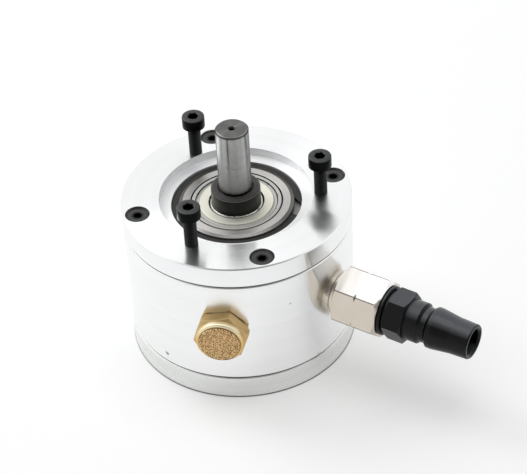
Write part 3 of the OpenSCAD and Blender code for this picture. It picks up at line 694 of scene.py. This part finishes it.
shaft_steel = ground_steel(
    "ground_shaft", dark=(0.38, 0.38, 0.372), light=(0.5, 0.5, 0.49), smooth=0.22, rough=0.3,
    lines=[turning_centre], end=75.75, smear=0.9)
dress(shaft_steel, "rotor")

# %% [markdown]
# Nickel plate on the adapter is bright and slightly warm. Its flats are drawn bar, smooth with a faint
# tooth. The upper flat is painted nearly white as painted light, a little darker towards the wall, the
# lower ones are painted darker and a shade warmer as painted shade, and a painted dark reflection line
# runs along each corner, which is where the distance from the inlet's axis is greatest.


# %% Nickel plate
def way_out(heading):
    return Vector((math.cos(heading), math.sin(heading), 0))


port_height = 27 * MM
inlet_heading = math.radians(-32)
nickel, tree, shader, place = finish("nickel_plate", metallic=1.0)
skin = use(tree, tooth, position=place, size=0.3 * MM)
smudge = use(tree, smudges, position=place, size=5 * MM)["Smudge"]
off_port = vectors(tree, "SUBTRACT", place, (0, 0, port_height))
aside = vectors(tree, "LENGTH", vectors(tree, "CROSS_PRODUCT", off_port, way_out(inlet_heading)))
# Painted reflection: a thin dark line along each corner of the hexagon.
corner = above(tree, aside, 9.62 * MM, 9.68 * MM)
along = vectors(tree, "DOT_PRODUCT", place, way_out(inlet_heading))
# Painted light: a near-white upper flat and darker, warmer lower flats.
painted_lit_top = two_tone(tree, above(tree, along, 38 * MM, 45 * MM), (0.74, 0.7, 0.655), (0.95, 0.93, 0.905))
warm = two_tone(tree, smudge, (0.62, 0.56, 0.48), (0.66, 0.6, 0.525))
upper = above(tree, height_of(tree, place), 33.6 * MM, 34.2 * MM)
tone = two_tone(tree, corner, two_tone(tree, upper, warm, painted_lit_top), (0.2, 0.18, 0.16))
dullness = between(tree, smudge, 0.16, 0.2)
normal = relief(tree, skin["Height"], 0.002 * MM)
feed(tree, shader, base_color=tone, roughness=dullness, normal=normal)
dress(nickel, "inlet_adapter")

# %% [markdown]
# The silencer is turned from brass bar: warm, a little tarnished on the flats, with paler edges that are
# partly cut brass and partly painted highlight. The round lip is a lighter cut, found by its distance
# along the exhaust's axis; its top is painted pale as painted light, and its underside is painted dark as
# painted shade.

# %% Brass
exhaust_heading = math.radians(-98)
brass, tree, shader, place = finish("brass_bar", metallic=1.0)
edge = use(tree, broken_edges, radius=0.3 * MM)
smudge = use(tree, smudges, position=place, size=4 * MM)["Smudge"]
height = height_of(tree, place)
along = vectors(tree, "DOT_PRODUCT", place, way_out(exhaust_heading))
lip = above(tree, along, 38.6 * MM, 38.8 * MM)
# Painted light on the lip's top, and painted shade on its underside below.
pale = maths(tree, "MULTIPLY", lip, above(tree, height, 28 * MM, 32.5 * MM))
painted_lip_shade = maths(tree, "MULTIPLY", lip, between(tree, height, 0.85, 0.0, 20.6 * MM, 22.5 * MM))
bar = two_tone(tree, smudge, (0.52, 0.35, 0.145), (0.68, 0.48, 0.22))
# The edges are painted paler, partly as cut brass and partly as painted highlight.
tone = two_tone(tree, maths(tree, "MULTIPLY", edge["Edge"], 0.7), bar, (0.95, 0.8, 0.5))
lip_tones = [(lip, (0.78, 0.53, 0.22)), (pale, (0.97, 0.86, 0.58)), (painted_lip_shade, (0.16, 0.085, 0.035))]
for mask, lip_tone in lip_tones:
    tone = two_tone(tree, mask, tone, lip_tone)
flats = between(tree, smudge, 0.36, 0.46)
dullness = between(tree, lip, flats, 0.46)
feed(tree, shader, base_color=tone, roughness=dullness, normal=edge["Normal"])
dress(brass, "silencer_body")

# %% [markdown]
# The disc in the silencer is sintered bronze. Its bed lies in the shade of its own grains and is dark,
# and the grains on top are bright and a little redder than the brass. Both have the same rough skin, so
# one function makes them.


# %% Sintered bronze
def sintered(name, dark, light):
    paint, tree, shader, place = finish(name, metallic=1.0)
    skin = use(tree, tooth, position=place, size=0.4 * MM)
    smudge = use(tree, smudges, position=place, size=1.2 * MM)["Smudge"]
    dullness = between(tree, skin["Speck"], 0.3, 0.5)
    tone = two_tone(tree, smudge, dark, light)
    normal = relief(tree, skin["Height"], 0.01 * MM)
    feed(tree, shader, base_color=tone, roughness=dullness, normal=normal)
    return paint


bronze_bed = sintered("sintered_bed", dark=(0.22, 0.13, 0.055), light=(0.36, 0.23, 0.1))
bronze_grain = sintered("bronze_grain", dark=(0.82, 0.54, 0.26), light=(0.95, 0.73, 0.42))
dress(bronze_bed, "silencer_disc")

# %% [markdown]
# What lies inside still gets its own finish, because the part can be opened: glass-filled cages, a
# rubber lip seal and vanes of fibre composite. None is a mirror, so tone, tooth and a dull shine are
# enough.


# %% Plastics, rubber and composite
def moulded(name, dark, light, grain, rough):
    paint, tree, shader, place = finish(name, specular_ior_level=0.35)
    skin = use(tree, tooth, position=place, size=grain * MM)
    smudge = use(tree, smudges, position=place, size=4 * MM)["Smudge"]
    dullness = between(tree, smudge, rough, rough + 0.15)
    tone = two_tone(tree, skin["Speck"], dark, light)
    normal = relief(tree, skin["Height"], 0.01 * MM)
    feed(tree, shader, base_color=tone, roughness=dullness, normal=normal)
    return paint


cage_plastic = moulded("cage_plastic", (0.05, 0.045, 0.03), (0.09, 0.08, 0.055), grain=0.2, rough=0.45)
dress(cage_plastic, "front_bearing_cage", "rear_bearing_cage")
seal_rubber = moulded("seal_rubber", (0.012, 0.012, 0.012), (0.03, 0.03, 0.03), grain=0.3, rough=0.6)
dress(seal_rubber, "shaft_seal")
vane_composite = moulded("vane_composite", (0.09, 0.05, 0.025), (0.17, 0.1, 0.05), grain=0.35, rough=0.5)
dress(vane_composite, "vane_1", "vane_2", "vane_3", "vane_4")

# %% [markdown]
# ## Threads
# A thread is a ridge wound along a helix. It could be cut into the mesh with a screw modifier, but a
# helix curve with a small diamond swept along it gives the same ridge from four sizes: radius, pitch,
# length and ridge. The tree below makes it once, and both the cap screws and the adapter's neck use it.
# It also notes which points lie on the crest, as an attribute, because the crests are painted lighter,
# partly as wear of the black and partly as painted highlight.


# %% A thread ridge as a group
def shape_tree(name, *inputs):
    """Gives a tree, the identifiers of its inputs, their outputs inside it, and its end."""
    tree = bpy.data.node_groups.new(name, "GeometryNodeTree")
    names = sockets(tree, "INPUT", *inputs)
    sockets(tree, "OUTPUT", ("Geometry", "Geometry"))
    return tree, names, tree.nodes.new("NodeGroupInput").outputs, tree.nodes.new("NodeGroupOutput")


ridge_sizes = [("Radius", "Float", 1.7 * MM), ("Pitch", "Float", 0.7 * MM),
               ("Length", "Float", 12 * MM), ("Ridge", "Float", 0.3 * MM)]
thread_ridge, _, given, gives = shape_tree("Thread ridge", *ridge_sizes)
turns = maths(thread_ridge, "DIVIDE", given["Length"], given["Pitch"])
helix = put(thread_ridge, "GeometryNodeCurveSpiral", {
    "Resolution": 28, "Rotations": turns, "Height": given["Length"],
    "Start Radius": given["Radius"], "End Radius": given["Radius"]}).outputs[0]
upright = put(thread_ridge, "GeometryNodeSetCurveNormal", {"Curve": helix}, mode="Z_UP").outputs[0]
diamond = put(thread_ridge, "GeometryNodeCurvePrimitiveCircle", {"Resolution": 4, "Radius": given["Ridge"]})
swept = put(thread_ridge, "GeometryNodeCurveToMesh", {
    "Curve": upright, "Profile Curve": diamond.outputs[0], "Fill Caps": True}).outputs[0]
flat_sided = put(thread_ridge, "GeometryNodeSetShadeSmooth", {"Geometry": swept, "Shade Smooth": False})
reach = from_axis(thread_ridge, put(thread_ridge, "GeometryNodeInputPosition").outputs[0])
half_ridge = maths(thread_ridge, "MULTIPLY", given["Ridge"], 0.5)
crest_from = maths(thread_ridge, "ADD", given["Radius"], half_ridge)
on_crest = maths(thread_ridge, "GREATER_THAN", reach, crest_from)
noted = {"Geometry": flat_sided.outputs[0], "Name": "crest", "Value": on_crest}
marked = put(thread_ridge, "GeometryNodeStoreNamedAttribute", noted, data_type="FLOAT", domain="POINT")
thread_ridge.links.new(marked.outputs[0], gives.inputs[0])
print(thread_ridge.name, len(thread_ridge.nodes), "nodes")

# %% [markdown]
# ## The three mounting screws
# Socket-head cap screws stand in the front face with most of their thread showing. One blank is lathed:
# a ring of points at each height, round for the shank and head, and six-sided for the socket.
# The tree then adds the thread and sets the screw on each point of a circle, with the sockets turned at
# random as they are after tightening.


# %% One screw blank
def ring_reach(kind, size, angle):
    """A radius for round, and the distance to the flat at this angle for hex."""
    return size if kind == "round" else size / 2 / math.cos(angle % (math.pi / 3) - math.pi / 6)


def lathe_blank(name, rings, first, last, around=48):
    """Rings are (kind, size, height): a radius for round, the width across flats for hex.
    first and last are the heights of the points that close the ends."""
    mesh = bmesh.new()
    loops = []
    for kind, size, height in rings:
        loop = []
        for step in range(around):
            angle = 2 * math.pi * step / around
            reach = ring_reach(kind, size, angle)
            point = Vector((reach * math.cos(angle), reach * math.sin(angle), height))
            loop.append(mesh.verts.new(point * MM))
        loops.append(loop)
    for low, high in zip(loops, loops[1:]):
        for step in range(around):
            after = (step + 1) % around
            mesh.faces.new((low[step], low[after], high[after], high[step]))
    for loop, height in ((loops[0], first), (loops[-1], last)):
        middle = mesh.verts.new((0, 0, height * MM))
        for step in range(around):
            mesh.faces.new((loop[step], loop[(step + 1) % around], middle))
    bmesh.ops.recalc_face_normals(mesh, faces=mesh.faces)
    blank = bpy.data.meshes.new(name)
    mesh.to_mesh(blank)
    mesh.free()
    blank.shade_smooth()
    blank.set_sharp_from_angle(angle=math.radians(28))
    return blank


tip, shank_start, shank_end, head_start, head_top = 45.2, 45.6, 60.6, 60.8, 64.7
shank_radius, head_radius, key_width = 1.62, 3.5, 3.0
shank_rings = [("round", 1.2, tip), ("round", shank_radius, shank_start),
               ("round", shank_radius, shank_end)]
head_rings = [("round", 1.95, head_start), ("round", 3.3, head_start), ("round", head_radius, 61.0),
              ("round", head_radius, cap_side_top), ("round", 3.38, 64.57), ("round", 3.1, head_top)]
socket_rings = [("round", 1.85, head_top), ("hex", key_width, 64.5), ("hex", key_width, 62.7)]
cap_screw = lathe_blank("cap_screw", shank_rings + head_rings + socket_rings, first=tip, last=62.3)
print("screw blank", len(cap_screw.polygons), "faces")

# %% [markdown]
# Every tree that makes a piece ends the same way: its instances are made real, because the export drops
# instances, and the finish is set. The tree runs on a carrier object. Its result could stay a live
# modifier, but it is kept as a plain mesh, so nothing has to be worked out again later.


# %% Helpers that end and run a tree
def end_tree(tree, geometry, given, gives):
    real = put(tree, "GeometryNodeRealizeInstances", {0: geometry}).outputs[0]
    painted = put(tree, "GeometryNodeSetMaterial", {"Geometry": real, "Material": given["Finish"]})
    tree.links.new(painted.outputs[0], gives.inputs[0])
    print(tree.name, len(tree.nodes), "nodes")


def made_by(tree, name, blank, values):
    """Runs a tree on a mesh and returns the result as a plain mesh object at the origin."""
    carrier = bpy.data.objects.new(name + "_carrier", blank)
    scene.collection.objects.link(carrier)
    nodes = carrier.modifiers.new("making", "NODES")
    nodes.node_group = tree
    for identifier, value in values.items():
        nodes[identifier] = value
    worked_out = carrier.evaluated_get(bpy.context.evaluated_depsgraph_get())
    result = bpy.data.meshes.new_from_object(worked_out)
    result.name = name
    carrier.modifiers.remove(nodes)
    bpy.data.objects.remove(carrier)
    piece = bpy.data.objects.new(name, result)
    scene.collection.objects.link(piece)
    print(name, len(result.polygons), "faces")
    return piece


print("helpers: end_tree, made_by")

# %% [markdown]
# The screws stand on a circle, so the tree uses a mesh circle with one point for each. Every screw gets
# its own turn from a random value with a fixed seed, so that the picture is the same each time.


# %% The screw circle
def ridge_in(tree, given):
    """Places the thread ridge in a tree that has the same four sizes."""
    sizes = {name: given[name] for name, _, _ in ridge_sizes}
    return put(tree, "GeometryNodeGroup", sizes, node_tree=thread_ridge).outputs[0]


screw_circle, names, given, gives = shape_tree(
    "Screw circle", ("Blank", "Geometry"), ("Screws", "Int", 3), ("Circle", "Float", 25.6 * MM),
    ("Thread start", "Float", 45.6 * MM), *ridge_sizes, ("Finish", "Material"))
start = put(screw_circle, "ShaderNodeCombineXYZ", {2: given["Thread start"]}).outputs[0]
raised = put(screw_circle, "GeometryNodeTransform", {
    "Geometry": ridge_in(screw_circle, given), "Translation": start})
whole = put(screw_circle, "GeometryNodeJoinGeometry")
for part in (given["Blank"], raised.outputs[0]):
    screw_circle.links.new(part, whole.inputs[0])
circle = put(screw_circle, "GeometryNodeMeshCircle", {
    "Vertices": given["Screws"], "Radius": given["Circle"]})
sixth = (0, 0, math.radians(60))
turn = put(screw_circle, "FunctionNodeRandomValue", {
    "Min": (0, 0, 0), "Max": sixth, "Seed": 4}, data_type="FLOAT_VECTOR")
stood = put(screw_circle, "GeometryNodeInstanceOnPoints", {
    "Points": circle.outputs[0], "Instance": whole.outputs[0], "Rotation": turn.outputs[0]})
end_tree(screw_circle, stood.outputs[0], given, gives)
cap_screws = made_by(screw_circle, "cap_screws", cap_screw, {
    names["Length"]: 14.6 * MM, names["Finish"]: cap_black})
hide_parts("mounting_screws")
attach(cap_screws, "housing")

# %% [markdown]
# ## The silencer's grains
# The disc is made of small bronze balls, sintered so that they just stick together and let the air
# through. A bump map would look flat at the rim, so real balls are scattered over the face with an even
# spacing, each of a slightly other size. The solid disc stays beneath them as the dark bed.


# %% The bed for the grains
def on_port(heading, distance):
    """Turns the Z axis to a port's axis and moves out along it."""
    turn = Matrix.Rotation(heading, 4, "Z") @ Matrix.Rotation(math.radians(90), 4, "Y")
    return Matrix.Translation((0, 0, port_height)) @ turn @ Matrix.Translation((0, 0, distance))


bed_radius, bed_distance = 6.02 * MM, 40.5 * MM
face = bmesh.new()
bmesh.ops.create_circle(face, cap_ends=True, cap_tris=True, segments=48, radius=bed_radius)
face.transform(on_port(exhaust_heading, bed_distance))
bed = bpy.data.meshes.new("grain_bed")
face.to_mesh(bed)
face.free()
print("bed of", len(bed.polygons), "faces")

# %% [markdown]
# Plain random points would clump, so the points are spread with a least distance, as packed balls are.
# There are hundreds of balls, so each has few faces and is shaded smooth.

# %% Sintered grains
grain_tree, names, given, gives = shape_tree(
    "Sintered grains", ("Bed", "Geometry"), ("Grain", "Float", 0.28 * MM), ("Spacing", "Float", 0.44 * MM),
    ("Seed", "Int", 7), ("Finish", "Material"))
points = put(grain_tree, "GeometryNodeDistributePointsOnFaces", {
    "Mesh": given["Bed"], "Distance Min": given["Spacing"], "Density Max": 2e7, "Seed": given["Seed"]},
    distribute_method="POISSON")
ball = put(grain_tree, "GeometryNodeMeshIcoSphere", {"Radius": given["Grain"], "Subdivisions": 2})
round_ball = put(grain_tree, "GeometryNodeSetShadeSmooth", {
    "Geometry": ball.outputs[0], "Shade Smooth": True})
smallest, largest = 0.8, 1.15
size = put(grain_tree, "FunctionNodeRandomValue", {
    2: smallest, 3: largest, "Seed": given["Seed"]}, data_type="FLOAT")
scattered = put(grain_tree, "GeometryNodeInstanceOnPoints", {
    "Points": points.outputs[0], "Instance": round_ball.outputs[0], "Scale": size.outputs[1]})
end_tree(grain_tree, scattered.outputs[0], given, gives)
grains = made_by(grain_tree, "sintered_grains", bed, {names["Finish"]: bronze_grain})
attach(grains, "housing")

# %% [markdown]
# ## The adapter's thread
# Between the wall and the hexagon a turn of pipe thread is left showing. It is the same ridge with a
# coarser pitch, made at the origin and then moved to the inlet's axis by its mesh, so that the object
# itself stays unturned.

# %% Thread on the adapter's neck
neck_tree, names, given, gives = shape_tree("Neck thread", *ridge_sizes, ("Finish", "Material"))
end_tree(neck_tree, ridge_in(neck_tree, given), given, gives)
neck_thread = made_by(neck_tree, "neck_thread", bpy.data.meshes.new("empty_blank"), {
    names["Radius"]: 6.5 * MM, names["Pitch"]: 0.9 * MM, names["Length"]: 1.1 * MM,
    names["Ridge"]: 0.32 * MM, names["Finish"]: nickel})
neck_distance = 35.2 * MM
neck_thread.data.transform(on_port(inlet_heading, neck_distance))
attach(neck_thread, "housing")
